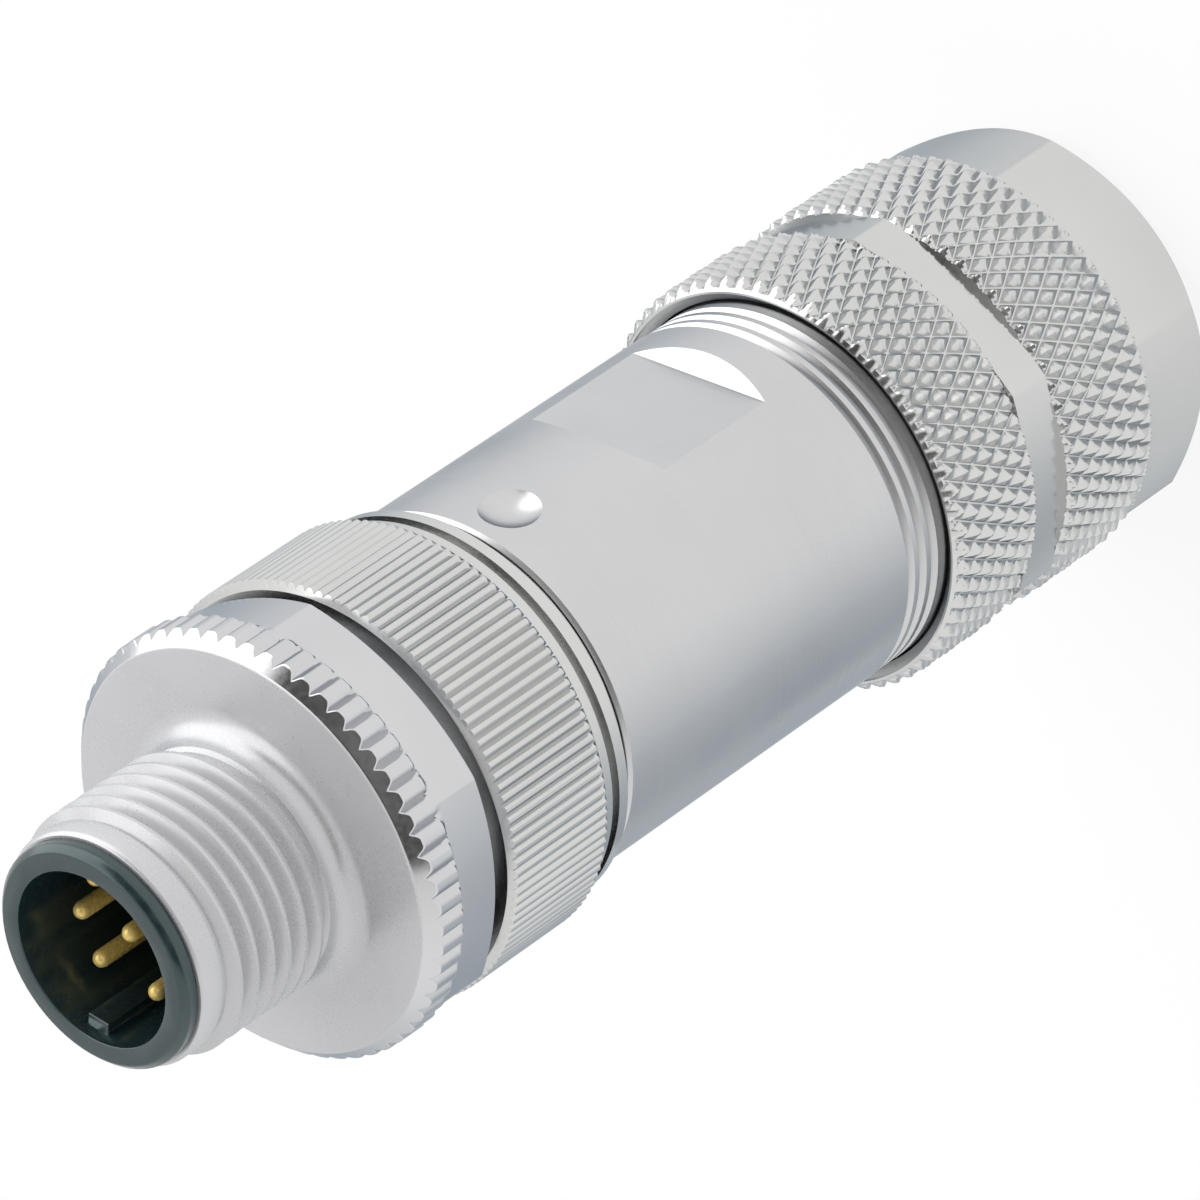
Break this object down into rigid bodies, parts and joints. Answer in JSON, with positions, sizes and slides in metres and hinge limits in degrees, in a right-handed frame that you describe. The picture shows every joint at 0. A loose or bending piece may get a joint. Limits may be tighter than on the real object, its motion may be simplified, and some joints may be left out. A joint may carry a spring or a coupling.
{
  "type": "circular connector",
  "caption": "Shielded field-wireable circular connector plug: pins in a keyed cavity, toothed coupling screw, fine knurled front ring, plain sleeve with flats and a diamond-knurled thrust nut",
  "frame": {"origin": "centre of the cable end face, on which the plug stands", "axes": "+Z along the plug's axis towards the pins; +X and -X between the spanner flats; +Y and -Y out of the two spanner flats, the dimple beside the -Y one"},
  "size_m": [0.0202, 0.0202, 0.0643],
  "materials": {
    "cast_nickel": "nickel-plated zinc die casting, bright satin",
    "turned_nickel": "nickel-plated turned brass, bright",
    "satin_nickel": "nickel-plated turned brass, satin",
    "contact_gold": "gold-plated, polished",
    "black_plastic": "moulded, semi-matt black",
    "grey_plastic": "moulded grey",
    "black_rubber": "moulded black rubber"
  },
  "bodies": {
    "housing": {"front_ring": "turned_nickel", "contact_carrier": "black_plastic", "contact_pin_1": "contact_gold", "contact_pin_2": "contact_gold", "contact_pin_3": "contact_gold", "contact_pin_4": "contact_gold", "contact_pin_5": "contact_gold", "contact_pin_6": "contact_gold", "contact_pin_7": "contact_gold", "contact_pin_8": "contact_gold", "carrier_lock_ring": "grey_plastic", "carrier_seal_ring": "black_rubber", "coupling_seal_ring": "black_rubber", "sleeve_seal_ring": "black_rubber", "housing_sleeve": "satin_nickel", "insulating_sleeve": "grey_plastic", "shield_ring": "turned_nickel", "shield_cone": "turned_nickel", "clamping_cage": "grey_plastic", "cable_seal": "black_rubber"},
    "coupling": {"coupling_screw": "cast_nickel"},
    "press": {"pressure_ring": "turned_nickel"},
    "nut": {"thrust_nut": "turned_nickel"}
  },
  "joints": [
    {"name": "coupling_turn", "type": "hinge", "parent": "housing", "child": "coupling", "pos_m": [0, 0, 0.055], "axis": [0, 0, 1], "continuous": true},
    {"name": "press_travel", "type": "slide", "parent": "housing", "child": "press", "axis": [0, 0, 1], "range_m": [0, 0.0018]},
    {"name": "nut_turn", "type": "hinge", "parent": "press", "child": "nut", "pos_m": [0, 0, 0.01], "axis": [0, 0, 1], "range_deg": [0, 648]}
  ],
  "couplings": [
    {"joint": "press_travel", "follows": "nut_turn", "m_per_rad": 0.00015915}
  ]
}
